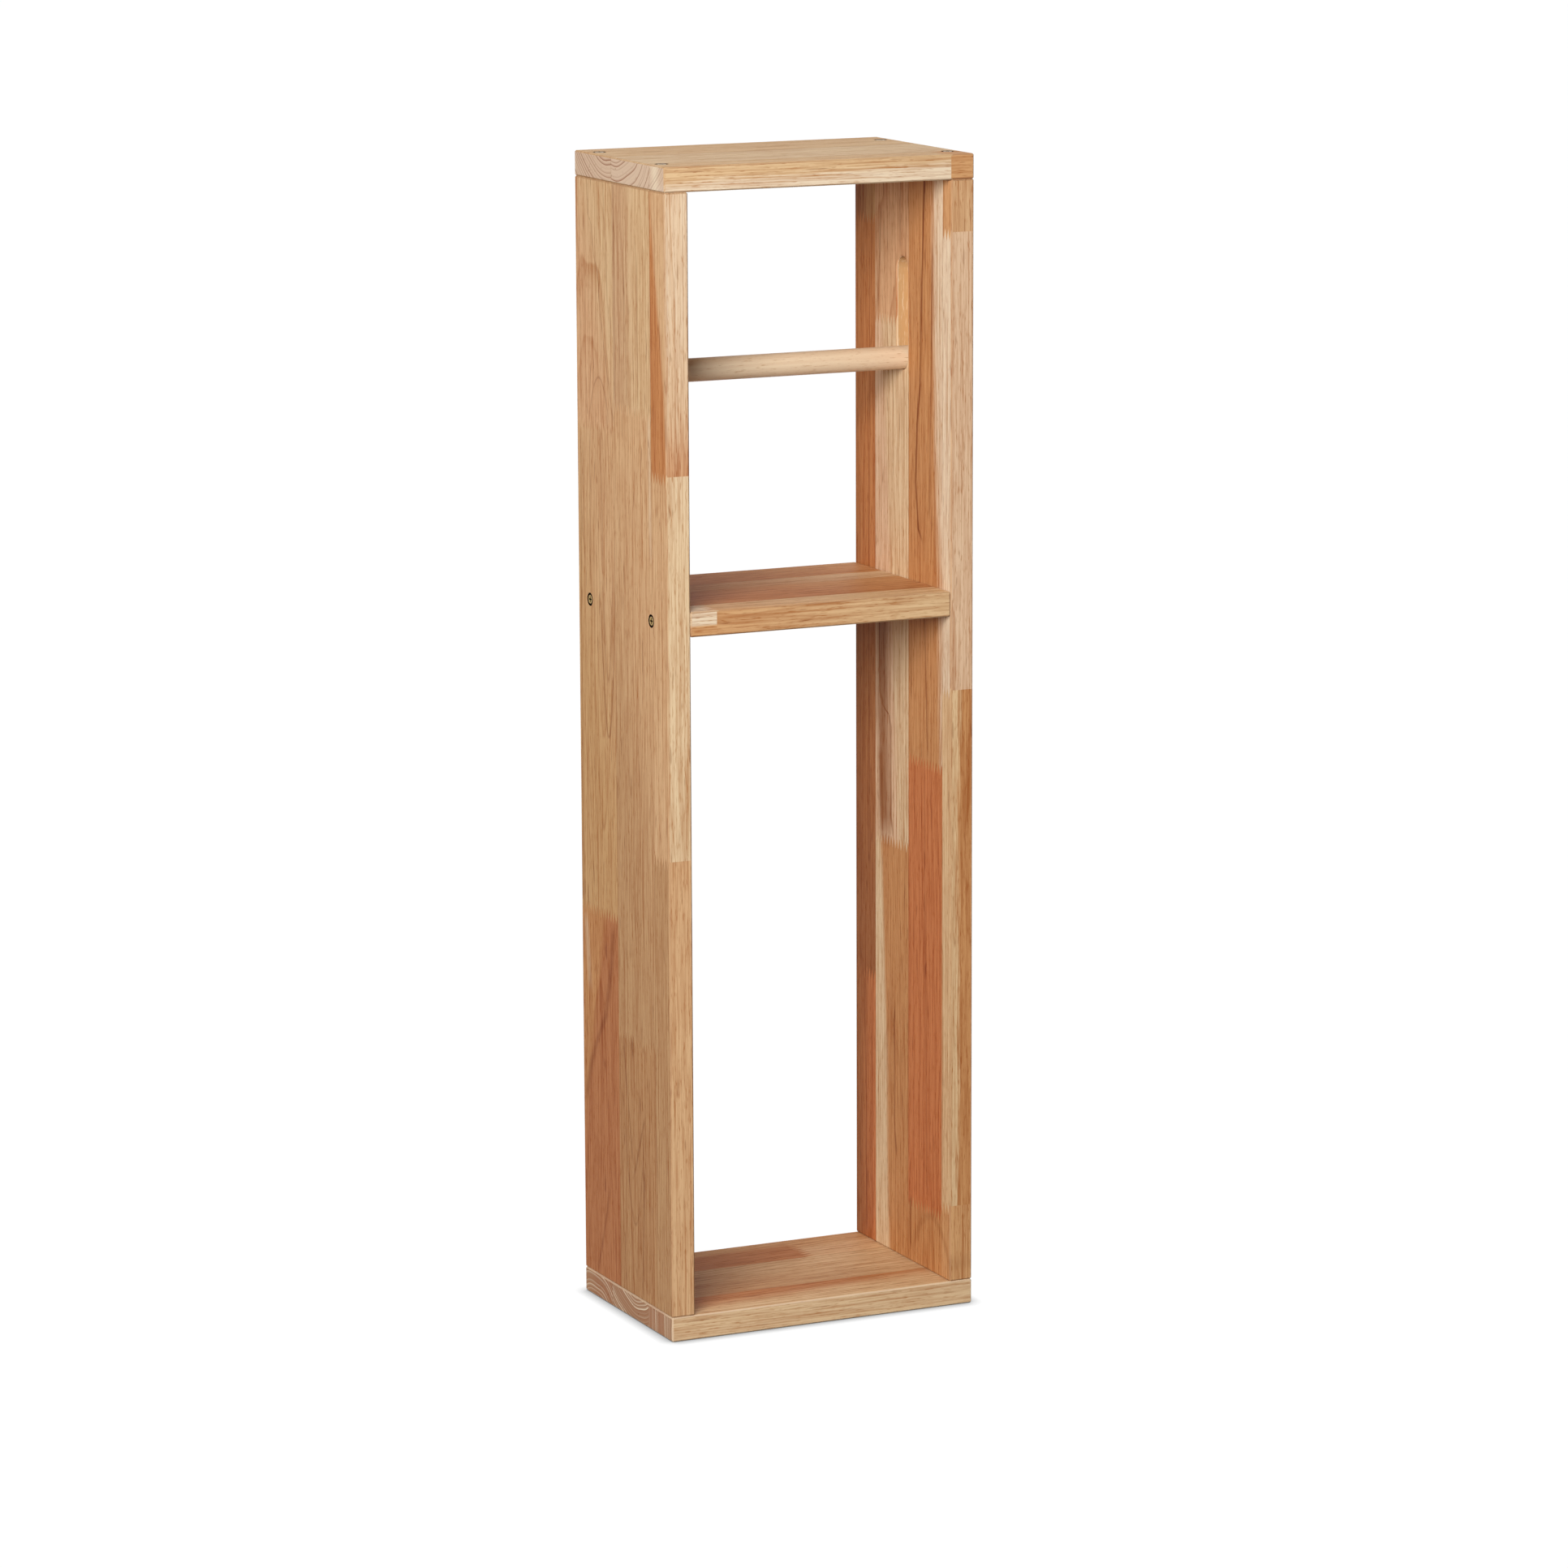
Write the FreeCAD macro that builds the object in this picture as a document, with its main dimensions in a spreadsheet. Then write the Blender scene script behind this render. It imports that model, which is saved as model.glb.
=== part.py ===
import FreeCAD
import Part
import Sketcher

import enum
import os

# A free-standing wooden stand for toilet rolls, in millimetres.
# Two upright sides stand between a top and a bottom board, a shelf divides the space between them,
# and a loose rod for the roll rides in a blind groove in each side. Wood screws hold the boards.
# The origin is the middle of the footprint on the floor: +X is right, +Y is back and +Z is up.

# Driving dimensions
SIZES = {
    # the frame of boards, all cut from one thickness of stock
    "unit_width": 200,
    "unit_depth": 130,
    "unit_height": 700,
    "board_thickness": 15,
    "edge_break": 0.8,
    # clear height under the shelf
    "lower_opening": 410,
    # rod and the grooves that hold it; a groove's drop is from the top board down to its highest point
    "rod_diameter": 14,
    "rod_end_bevel": 1,
    "rod_end_gap": 3,
    "rod_seat_gap": 0.3,
    "rod_play": 1,
    "groove_drop": 51,
    "groove_length": 68,
    "groove_depth": 9,
    "groove_ease": 0.6,
    # places of the screws: from the boards' front and back edges, and how far the shelf's sit back
    "screw_inset": 20,
    "shelf_screw_setback": 3,
    # wood screw; its length is measured under the head
    "screw_length": 38,
    "shank_diameter": 4,
    "head_diameter": 6.6,
    "head_height": 2.4,
    "head_bevel": 0.7,
    "recess_span": 3.8,
    "recess_width": 1.1,
    "recess_depth": 1.2,
    # holes: the head's sunk hole, the room round head and shank, and the depth past the end
    "head_sink": 0.1,
    "head_play": 1.4,
    "shank_play": 0.2,
    "pilot_spare": 2,
}

# Sizes that follow from them
THICKNESS = "sizes.board_thickness"
DEPTH = "sizes.unit_depth"
INNER_WIDTH = "(sizes.unit_width - 2 * sizes.board_thickness)"
PANEL_HEIGHT = "(sizes.unit_height - 2 * sizes.board_thickness)"
PANEL_OFFSET = "(sizes.unit_width - sizes.board_thickness) / 2"
SHELF_LEVEL = "(sizes.board_thickness + sizes.lower_opening)"
GROOVE_WIDTH = "(sizes.rod_diameter + sizes.rod_play)"
GROOVE_BOTTOM = "(sizes.unit_height - sizes.board_thickness - sizes.groove_drop - sizes.groove_length)"
ROD_LENGTH = f"({INNER_WIDTH} + 2 * (sizes.groove_depth - sizes.rod_end_gap))"
ROD_LEVEL = f"({GROOVE_BOTTOM} + sizes.rod_seat_gap + sizes.rod_diameter / 2)"
SCREW_DEPTH = "(sizes.unit_depth / 2 - sizes.screw_inset)"
HEAD_HOLE = "(sizes.head_diameter + sizes.head_play)"
HEAD_HOLE_DEPTH = "(sizes.head_height + sizes.head_sink)"
SHANK_HOLE = "(sizes.shank_diameter + sizes.shank_play)"
PILOT_DEPTH = f"(sizes.screw_length + {HEAD_HOLE_DEPTH} - {THICKNESS} + sizes.pilot_spare)"

# Signs of the two sides and of the two screws of a pair
SIDES = {"left": -1, "right": 1}
ENDS = {"front": -1, "back": 1}

# Distance within which an edge counts as lying on a face
TOUCH = 0.01


class Spot(enum.IntEnum):
    """A sketch's codes for the spots of a line or an arc that a constraint can hold."""
    START = 1
    END = 2
    CENTRE = 3


class Axis(enum.IntEnum):
    """A sketch's codes for its own two axes; the origin is where the level one starts."""
    LEVEL = -1
    UPRIGHT = -2


ORIGIN_POINT = (Axis.LEVEL, Spot.START)

doc = FreeCAD.newDocument("toilet_roll_stand")


def add_sheet():
    """Put the driving dimensions in the document's spreadsheet, one named row each."""
    sheet = doc.addObject("Spreadsheet::Sheet", "sizes")
    for row, (name, value) in enumerate(SIZES.items(), start=1):
        sheet.set(f"A{row}", name)
        sheet.set(f"B{row}", str(value))
        sheet.setAlias(f"B{row}", name)
    doc.recompute()


def number(expression):
    """Today's value of an expression, to draw a sketch close to its final shape."""
    return float(doc.getObject("sizes").evalExpression(expression))


def add_body(label):
    """An empty body whose label is the piece's name."""
    body = doc.addObject("PartDesign::Body", label)
    body.Label = label
    return body


def place(body, x="0", y="0", z="0", rotation=FreeCAD.Rotation()):
    """Turn a body and bind its position to the sizes."""
    body.Placement = FreeCAD.Placement(FreeCAD.Vector(), rotation)
    for axis, expression in zip("xyz", (x, y, z)):
        body.setExpression(f"Placement.Base.{axis}", expression)


def add_sketch(body, name, plane, offset="0"):
    """A sketch on one of the body's origin planes, moved along its normal by an offset."""
    sketch = body.newObject("Sketcher::SketchObject", f"{body.Label}_{name}")
    origin = next(item for item in body.Origin.OriginFeatures if item.Role == plane)
    sketch.AttachmentSupport = (origin, [""])
    sketch.MapMode = "FlatFace"
    sketch.setExpression("AttachmentOffset.Base.z", offset)
    return sketch


def dimension(sketch, expression, kind, *points):
    """Add a constraint of a kind between points and bind its value to an expression."""
    index = sketch.addConstraint(Sketcher.Constraint(kind, *points, number(expression)))
    sketch.setExpression(f"Constraints[{index}]", expression)


def join_ends(sketch, lines):
    """Close a row of lines and arcs into a loop, each one's end on the next one's start."""
    for line, following in zip(lines, lines[1:] + lines[:1]):
        sketch.addConstraint(Sketcher.Constraint("Coincident", line, Spot.END, following, Spot.START))


def draw_rectangle(sketch, width, height):
    """A rectangle about the sketch's origin, width by height."""
    across = number(width) / 2
    along = number(height) / 2
    corners = [
        FreeCAD.Vector(-across, -along),
        FreeCAD.Vector(across, -along),
        FreeCAD.Vector(across, along),
        FreeCAD.Vector(-across, along),
    ]
    lines = []
    for corner, following in zip(corners, corners[1:] + corners[:1]):
        lines.append(sketch.addGeometry(Part.LineSegment(corner, following)))
    join_ends(sketch, lines)
    low, right, high, left = lines
    for line in (low, high):
        sketch.addConstraint(Sketcher.Constraint("Horizontal", line))
    for line in (right, left):
        sketch.addConstraint(Sketcher.Constraint("Vertical", line))
    sketch.addConstraint(Sketcher.Constraint("Symmetric", low, Spot.START, high, Spot.START, *ORIGIN_POINT))
    dimension(sketch, width, "DistanceX", low, Spot.START, low, Spot.END)
    dimension(sketch, height, "DistanceY", right, Spot.START, right, Spot.END)


def draw_circles(sketch, diameter, places):
    """Circles of one diameter, each at a pair of expressions for its place."""
    for across, along in places:
        centre = FreeCAD.Vector(number(across), number(along))
        circle = sketch.addGeometry(Part.Circle(centre, FreeCAD.Vector(0, 0, 1), number(diameter) / 2))
        dimension(sketch, diameter, "Diameter", circle)
        dimension(sketch, across, "DistanceX", *ORIGIN_POINT, circle, Spot.CENTRE)
        dimension(sketch, along, "DistanceY", *ORIGIN_POINT, circle, Spot.CENTRE)


def draw_upright_slot(sketch, width, lowest, length):
    """A slot with half-round ends on the sketch's upright axis, from its lowest point up."""
    radius = number(width) / 2
    low = number(lowest) + radius
    high = number(lowest) + number(length) - radius
    right = sketch.addGeometry(Part.LineSegment(FreeCAD.Vector(radius, low), FreeCAD.Vector(radius, high)))
    arch = sketch.addGeometry(Part.Arc(
        FreeCAD.Vector(radius, high), FreeCAD.Vector(0, high + radius), FreeCAD.Vector(-radius, high)))
    left = sketch.addGeometry(Part.LineSegment(FreeCAD.Vector(-radius, high), FreeCAD.Vector(-radius, low)))
    seat = sketch.addGeometry(Part.Arc(
        FreeCAD.Vector(-radius, low), FreeCAD.Vector(0, low - radius), FreeCAD.Vector(radius, low)))
    outline = [right, arch, left, seat]
    for line, following in zip(outline, outline[1:] + outline[:1]):
        sketch.addConstraint(Sketcher.Constraint("Tangent", line, Spot.END, following, Spot.START))
    for arc in (arch, seat):
        sketch.addConstraint(Sketcher.Constraint("PointOnObject", arc, Spot.CENTRE, Axis.UPRIGHT))
    dimension(sketch, f"{width} / 2", "Radius", seat)
    dimension(sketch, f"{lowest} + {width} / 2", "DistanceY", *ORIGIN_POINT, seat, Spot.CENTRE)
    dimension(sketch, f"{length} - {width}", "DistanceY", seat, Spot.CENTRE, arch, Spot.CENTRE)


def pad(body, sketch, length):
    """Raise a sketch's outline along its normal."""
    feature = body.newObject("PartDesign::Pad", f"{body.Label}_pad")
    feature.Profile = sketch
    feature.setExpression("Length", length)
    doc.recompute()
    return feature


def cut(body, sketch, depth, forward):
    """Sink a sketch's outline into the body, along the sketch's normal or against it."""
    feature = body.newObject("PartDesign::Pocket", f"{sketch.Label}_cut")
    feature.Profile = sketch
    feature.Reversed = forward
    feature.setExpression("Length", depth)
    doc.recompute()
    return feature


def break_every_edge(body, base, size):
    """Take the sharpness off all the edges that a body has so far."""
    feature = body.newObject("PartDesign::Chamfer", f"{body.Label}_broken_edges")
    feature.Base = (base, ["Edge1"])
    feature.UseAllEdges = True
    feature.setExpression("Size", size)
    doc.recompute()


def drill(body, sketch, forward):
    """Drill at a sketch's circles, along the sketch's normal or against it."""
    doc.recompute()
    feature = body.newObject("PartDesign::Hole", f"{sketch.Label}_drilled")
    feature.Profile = sketch
    doc.recompute()
    feature.Reversed = forward
    feature.setExpression("Diameter", SHANK_HOLE)
    return feature


def drill_head_holes(body, sketch, forward):
    """Holes right through for a screw's shank, each with a flat sunk hole for the head."""
    feature = drill(body, sketch, forward)
    feature.DepthType = "ThroughAll"
    feature.HoleCutType = "Counterbore"
    feature.HoleCutCustomValues = True
    feature.setExpression("HoleCutDiameter", HEAD_HOLE)
    feature.setExpression("HoleCutDepth", HEAD_HOLE_DEPTH)
    doc.recompute()


def drill_pilot_holes(body, sketch, forward):
    """Blind holes in the end of a board, which the screws bite into."""
    feature = drill(body, sketch, forward)
    feature.DepthType = "Dimension"
    feature.DrillPoint = "Flat"
    feature.setExpression("Depth", PILOT_DEPTH)
    doc.recompute()


def cap_screw_places():
    """Where the four screws of a top or bottom board stand, as seen from above."""
    return [
        (f"{side} * {PANEL_OFFSET}", f"{end} * {SCREW_DEPTH}")
        for side in SIDES.values()
        for end in ENDS.values()
    ]


def shelf_screw_depths():
    """How far back the two screws in each end of the shelf stand."""
    return [f"{end} * {SCREW_DEPTH} + sizes.shelf_screw_setback" for end in ENDS.values()]


def make_board(label, width):
    """A flat board with broken edges, its underside on its own XY plane."""
    body = add_body(label)
    outline = add_sketch(body, "outline", "XY_Plane")
    draw_rectangle(outline, width, DEPTH)
    break_every_edge(body, pad(body, outline, THICKNESS), "sizes.edge_break")
    return body


def make_cap(label, level, heads_face_up):
    """The top or bottom board: its screw heads are sunk in the face turned away from the stand."""
    body = make_board(label, "sizes.unit_width")
    heads = add_sketch(body, "screw_places", "XY_Plane", THICKNESS if heads_face_up else "0")
    draw_circles(heads, SHANK_HOLE, cap_screw_places())
    drill_head_holes(body, heads, forward=not heads_face_up)
    place(body, z=level)


def make_shelf():
    """The board between the sides, with pilot holes in both its ends."""
    body = make_board("middle_shelf", INNER_WIDTH)
    for side, sign in SIDES.items():
        pilots = add_sketch(body, f"{side}_end", "YZ_Plane", f"{sign} * {INNER_WIDTH} / 2")
        draw_circles(pilots, SHANK_HOLE, [(depth, f"{THICKNESS} / 2") for depth in shelf_screw_depths()])
        drill_pilot_holes(body, pilots, forward=sign < 0)
    place(body, z=SHELF_LEVEL)


def rim_edges(shape, face_x, half_width, low, high):
    """Names of the edges round a groove's mouth: those on its face and inside its outline."""
    names = []
    for index, edge in enumerate(shape.Edges, start=1):
        box = edge.BoundBox
        on_face = abs(box.XMin - face_x) < TOUCH and abs(box.XMax - face_x) < TOUCH
        in_width = max(-box.YMin, box.YMax) < half_width + TOUCH
        in_height = low - TOUCH < box.ZMin and box.ZMax < high + TOUCH
        if on_face and in_width and in_height:
            names.append(f"Edge{index}")
    return names


def make_side_panel(side):
    """An upright side: pilot holes in its ends, shelf screws through it and the rod's groove inside."""
    sign = SIDES[side]
    outer_face = f"{sign} * {THICKNESS} / 2"
    inner_face = f"{-sign} * {THICKNESS} / 2"
    body = add_body(f"{side}_side_panel")
    outline = add_sketch(body, "outline", "XY_Plane")
    draw_rectangle(outline, THICKNESS, DEPTH)
    break_every_edge(body, pad(body, outline, PANEL_HEIGHT), "sizes.edge_break")

    end_places = [("0", f"{end} * {SCREW_DEPTH}") for end in ENDS.values()]
    for name, level, forward in (("lower_end", "0", True), ("upper_end", PANEL_HEIGHT, False)):
        pilots = add_sketch(body, name, "XY_Plane", level)
        draw_circles(pilots, SHANK_HOLE, end_places)
        drill_pilot_holes(body, pilots, forward)

    heads = add_sketch(body, "shelf_screw_places", "YZ_Plane", outer_face)
    shelf_middle = f"sizes.lower_opening + {THICKNESS} / 2"
    draw_circles(heads, SHANK_HOLE, [(depth, shelf_middle) for depth in shelf_screw_depths()])
    drill_head_holes(body, heads, forward=sign < 0)

    groove = add_sketch(body, "groove", "YZ_Plane", inner_face)
    lowest = f"({GROOVE_BOTTOM} - {THICKNESS})"
    draw_upright_slot(groove, GROOVE_WIDTH, lowest, "sizes.groove_length")
    routed = cut(body, groove, "sizes.groove_depth", forward=sign > 0)

    half_width = number(GROOVE_WIDTH) / 2
    low = number(lowest)
    high = low + number("sizes.groove_length")
    mouth = body.newObject("PartDesign::Chamfer", f"{body.Label}_groove_mouth")
    mouth.Base = (routed, rim_edges(routed.Shape, number(inner_face), half_width, low, high))
    mouth.setExpression("Size", "sizes.groove_ease")
    place(body, x=f"{sign} * {PANEL_OFFSET}", z=THICKNESS)


def make_rod():
    """The loose bar for the roll, resting at the foot of the grooves."""
    body = add_body("roll_rod")
    section = add_sketch(body, "section", "YZ_Plane", f"-{ROD_LENGTH} / 2")
    draw_circles(section, "sizes.rod_diameter", [("0", "0")])
    break_every_edge(body, pad(body, section, ROD_LENGTH), "sizes.rod_end_bevel")
    place(body, z=ROD_LEVEL)


def draw_screw_profile(sketch):
    """Half a pan-head screw: flat crown, bevel, rim, flat under the head and a plain shank."""
    head = number("sizes.head_diameter") / 2
    shank = number("sizes.shank_diameter") / 2
    crown = number("sizes.head_height")
    bevel = number("sizes.head_bevel")
    end = -number("sizes.screw_length")
    corners = [
        FreeCAD.Vector(0, crown),
        FreeCAD.Vector(0, end),
        FreeCAD.Vector(shank, end),
        FreeCAD.Vector(shank, 0),
        FreeCAD.Vector(head, 0),
        FreeCAD.Vector(head, crown - bevel),
        FreeCAD.Vector(head - bevel, crown),
    ]
    lines = []
    for corner, following in zip(corners, corners[1:] + corners[:1]):
        lines.append(sketch.addGeometry(Part.LineSegment(corner, following)))
    join_ends(sketch, lines)
    axis, foot, side, underside, rim, bevelled, top = lines
    sketch.addConstraint(Sketcher.Constraint("PointOnObject", axis, Spot.START, Axis.UPRIGHT))
    for line in (axis, side, rim):
        sketch.addConstraint(Sketcher.Constraint("Vertical", line))
    for line in (foot, underside, top):
        sketch.addConstraint(Sketcher.Constraint("Horizontal", line))
    sketch.addConstraint(Sketcher.Constraint("PointOnObject", underside, Spot.START, Axis.LEVEL))
    dimension(sketch, "sizes.head_diameter / 2", "DistanceX", *ORIGIN_POINT, underside, Spot.END)
    dimension(sketch, "sizes.shank_diameter / 2", "DistanceX", *ORIGIN_POINT, side, Spot.END)
    dimension(sketch, "sizes.head_height", "DistanceY", *ORIGIN_POINT, axis, Spot.START)
    dimension(sketch, "sizes.screw_length", "DistanceY", axis, Spot.END, *ORIGIN_POINT)
    dimension(sketch, "sizes.head_bevel", "DistanceX", bevelled, Spot.END, bevelled, Spot.START)
    dimension(sketch, "sizes.head_bevel", "DistanceY", bevelled, Spot.START, bevelled, Spot.END)


def make_screw(label, x, y, z, rotation):
    """A cross-head screw whose seat under the head is at x, y, z."""
    body = add_body(label)
    profile = add_sketch(body, "profile", "XZ_Plane")
    draw_screw_profile(profile)
    turned = body.newObject("PartDesign::Revolution", f"{label}_turned")
    turned.Profile = profile
    turned.ReferenceAxis = (profile, ["V_Axis"])
    turned.Angle = 360
    doc.recompute()

    recess = add_sketch(body, "recess", "XY_Plane", "sizes.head_height")
    draw_rectangle(recess, "sizes.recess_span", "sizes.recess_width")
    slot = cut(body, recess, "sizes.recess_depth", forward=False)
    cross = body.newObject("PartDesign::PolarPattern", f"{label}_cross")
    cross.Originals = [slot]
    cross.Axis = (recess, ["N_Axis"])
    cross.Angle = 90
    cross.Occurrences = 2
    body.Tip = cross
    place(body, x, y, z, rotation)


def make_screws():
    """Four screws down through the top, four up through the bottom and two into each shelf end."""
    up = FreeCAD.Rotation()
    down = FreeCAD.Rotation(FreeCAD.Vector(1, 0, 0), 180)
    top_seat = f"sizes.unit_height - {HEAD_HOLE_DEPTH}"
    shelf_middle = f"{SHELF_LEVEL} + {THICKNESS} / 2"
    for side, sign in SIDES.items():
        outward = FreeCAD.Rotation(FreeCAD.Vector(0, 1, 0), 90 * sign)
        shelf_seat = f"{sign} * (sizes.unit_width / 2 - {HEAD_HOLE_DEPTH})"
        for (end, end_sign), shelf_depth in zip(ENDS.items(), shelf_screw_depths()):
            x = f"{sign} * {PANEL_OFFSET}"
            y = f"{end_sign} * {SCREW_DEPTH}"
            make_screw(f"top_screw_{side}_{end}", x, y, top_seat, up)
            make_screw(f"bottom_screw_{side}_{end}", x, y, HEAD_HOLE_DEPTH, down)
            make_screw(f"shelf_screw_{side}_{end}", shelf_seat, shelf_depth, shelf_middle, outward)


def check_and_write():
    """Stop if anything failed to build, then write each body to its own file."""
    doc.recompute()
    for item in doc.Objects:
        if "Invalid" in item.State or "Error" in item.State:
            raise RuntimeError(f"{item.Label} failed: {item.State}")
    bodies = [item for item in doc.Objects if item.TypeId == "PartDesign::Body"]
    for body in bodies:
        if body.Shape.isNull() or not body.Shape.isValid():
            raise RuntimeError(f"{body.Label} has no valid shape")
    os.makedirs("parts", exist_ok=True)
    for body in bodies:
        body.Shape.exportStep(f"parts/{body.Label}.step")
        print(f"{body.Label}: {len(body.Shape.Solids)} solid, {body.Shape.Volume:.1f} cubic mm")


add_sheet()
make_cap("top_board", f"sizes.unit_height - {THICKNESS}", heads_face_up=True)
make_cap("bottom_board", "0", heads_face_up=False)
make_shelf()
for side_name in SIDES:
    make_side_panel(side_name)
make_rod()
make_screws()
check_and_write()
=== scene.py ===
"""Wooden toilet-roll stand: finishes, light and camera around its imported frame."""

import logging
import math
from dataclasses import dataclass, field
from enum import Enum

import bpy
from mathutils import Matrix, Vector


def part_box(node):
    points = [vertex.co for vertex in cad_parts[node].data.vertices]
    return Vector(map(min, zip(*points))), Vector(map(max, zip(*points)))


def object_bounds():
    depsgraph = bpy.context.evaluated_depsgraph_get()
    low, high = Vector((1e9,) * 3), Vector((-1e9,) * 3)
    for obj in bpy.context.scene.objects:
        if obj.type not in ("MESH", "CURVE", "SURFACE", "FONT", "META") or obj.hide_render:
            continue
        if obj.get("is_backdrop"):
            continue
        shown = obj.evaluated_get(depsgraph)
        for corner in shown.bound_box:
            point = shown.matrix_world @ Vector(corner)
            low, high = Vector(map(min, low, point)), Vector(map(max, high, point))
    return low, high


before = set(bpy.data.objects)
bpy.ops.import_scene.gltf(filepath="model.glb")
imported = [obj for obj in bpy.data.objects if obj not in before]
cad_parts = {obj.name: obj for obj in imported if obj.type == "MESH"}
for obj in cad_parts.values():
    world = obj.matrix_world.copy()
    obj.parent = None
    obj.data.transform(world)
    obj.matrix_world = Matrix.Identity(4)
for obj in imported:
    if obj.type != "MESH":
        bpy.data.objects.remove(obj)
CAD_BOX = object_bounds()

log = logging.getLogger("roll_stand")

MM = 0.001

Socket = bpy.types.NodeSocket
Feed = Socket | float | tuple[float, ...] | None
Colour = tuple[float, float, float, float]
Place = tuple[float, float, float]
Span = tuple[float, float]

WHITE: Colour = (1.0, 1.0, 1.0, 1.0)

# A stave's numbers are stored in the stops of a colour ramp, as shares of the most that each can be.
MOST_PLACE = 250.0
MOST_BLEND = 100.0
MOST_LEAN = 0.5
MOST_TILT = 0.2


def linear(hex_colour: str) -> Colour:
    """Turns an sRGB hex colour into linear light.

    Args:
        hex_colour: six hex digits, with or without a leading hash.

    Returns:
        Red, green, blue and a full alpha, as Blender's sockets take them.
    """
    digits = hex_colour.lstrip("#")
    shares = [int(digits[i:i + 2], 16) / 255 for i in (0, 2, 4)]
    red, green, blue = (s / 12.92 if s <= 0.04045 else ((s + 0.055) / 1.055) ** 2.4 for s in shares)
    return red, green, blue, 1.0


class NodeSheet:
    """The node tree of one material or world, filled one node at a time."""

    def __init__(self, owner: bpy.types.Material | bpy.types.World) -> None:
        """Empties the owner's node tree, ready to be filled."""
        owner.use_nodes = True
        self.tree = owner.node_tree
        self.tree.nodes.clear()

    def add(self, kind: str, *inputs: Feed, take: str = "", named: dict[str, Feed] | None = None,
            **settings: object) -> Socket | None:
        """Adds one node with its settings and links.

        Args:
            kind: Blender's name of the node, without ShaderNode in front; its operation may follow a dot.
            inputs: what goes into the node's open inputs, in order; None leaves one as it is.
            take: name of the output to return, or the first open one.
            named: what goes into inputs that are given by name.
            settings: the node's own options, set before its inputs.

        Returns:
            The output socket, or None for a node that has none.
        """
        name, _, operation = kind.partition(".")
        node = self.tree.nodes.new("ShaderNode" + name)
        if operation:
            node.operation = operation
        for option, choice in settings.items():
            setattr(node, option, choice)
        open_inputs = [socket for socket in node.inputs if socket.enabled]
        feeds = list(zip(open_inputs, inputs))
        feeds += [(node.inputs[label], feed) for label, feed in (named or {}).items()]
        for socket, feed in feeds:
            if isinstance(feed, Socket):
                self.tree.links.new(feed, socket)
            elif feed is not None:
                socket.default_value = feed
        if take:
            return node.outputs[take]
        return next((socket for socket in node.outputs if socket.enabled), None)


def dress_node(node: str, material: bpy.types.Material) -> None:
    """Puts a material on one node of the frame."""
    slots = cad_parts[node].data.materials
    slots.clear()
    slots.append(material)


class Tone(Enum):
    """Colours of the staves, from pale sapwood to dark heart."""

    CREAM = "#F0DABC"
    SAPWOOD = "#E9CCA4"
    SHELL = "#E6C3A0"
    STRAW = "#E4C194"
    ROSE_CREAM = "#D9BCA5"
    HONEY = "#DFB588"
    PINK_TAN = "#DFB186"
    FAWN = "#D8B087"
    OLIVE_TAN = "#D4A875"
    TAN = "#D9A673"
    DRAB = "#C99D70"
    CINNAMON = "#CF9662"
    GREY_BROWN = "#C59567"
    ORANGE = "#CC8B56"
    BROWN = "#C78551"
    RED = "#CE8150"
    DEEP_RED = "#C28154"
    UMBER = "#A06E52"
    DARK_BROWN = "#A66A40"


class Grain(Enum):
    """Which way a board's fibres run."""

    UPRIGHT = "Z"
    LEVEL = "X"


@dataclass(frozen=True)
class Rings:
    """How a stave's growth rings lie, from where the middle of its log was.

    Attributes:
        aside: mm from the middle of the stave's row to the log's middle, along the board's depth.
        above: mm from the middle of the board's thickness to the log's middle.
        tilt: mm that the log's middle comes nearer for each mm along the stave.
        contrast: how dark the late wood is, from 0 to 1.
    """

    aside: float
    above: float
    tilt: float
    contrast: float


class Figure(Enum):
    """The ways that a stave was sawn from its log."""

    FLAT = Rings(aside=4, above=-38, tilt=0.05, contrast=0.6)
    ARCHED = Rings(aside=-9, above=30, tilt=0.075, contrast=0.8)
    RIFT = Rings(aside=45, above=-40, tilt=0.03, contrast=0.7)
    QUARTER = Rings(aside=-85, above=-14, tilt=0.02, contrast=0.7)
    PLAIN = Rings(aside=70, above=60, tilt=0.02, contrast=0.4)
    HEART_BEHIND = Rings(aside=27, above=42, tilt=0.02, contrast=0.7)
    HEART_BEFORE = Rings(aside=-27, above=42, tilt=0.02, contrast=0.7)


@dataclass(frozen=True)
class Stave:
    """One block of solid wood in a glued-up board.

    Attributes:
        end: mm along the board to the joint where the stave stops.
        front: its tone on the side of the board's front edge.
        back: its tone on the side of the board's back edge.
        parting: mm across the board where the two tones meet.
        blend: mm over which they melt together.
        lean: mm that the parting moves back for each mm along the board.
        through: 0 where the tones meet across the board, 1 where they meet in its thickness.
        figure: how the stave was sawn.
    """

    end: float
    front: Tone
    back: Tone
    parting: float = 0.0
    blend: float = 30.0
    lean: float = 0.0
    through: float = 0.0
    figure: Figure = Figure.RIFT


@dataclass(frozen=True)
class Row:
    """Staves joined end to end, from the low end of the board to the high one.

    Attributes:
        front: mm across the board where the row starts.
        back: mm across the board where it ends.
        staves: the blocks in order.
    """

    front: float
    back: float
    staves: tuple[Stave, ...]


@dataclass(frozen=True)
class GrainLine:
    """One line of the figure that the eye picks out.

    Attributes:
        path: points that it runs through, each mm along and mm across the board, from low to high.
        width: mm from its middle to where it has faded out.
        strength: how dark it is, from 0 to 1, or how pale where it is below 0.
        fade: mm over which it dies away at each end.
    """

    path: tuple[Span, ...]
    width: float
    strength: float
    fade: float = 8.0


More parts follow.
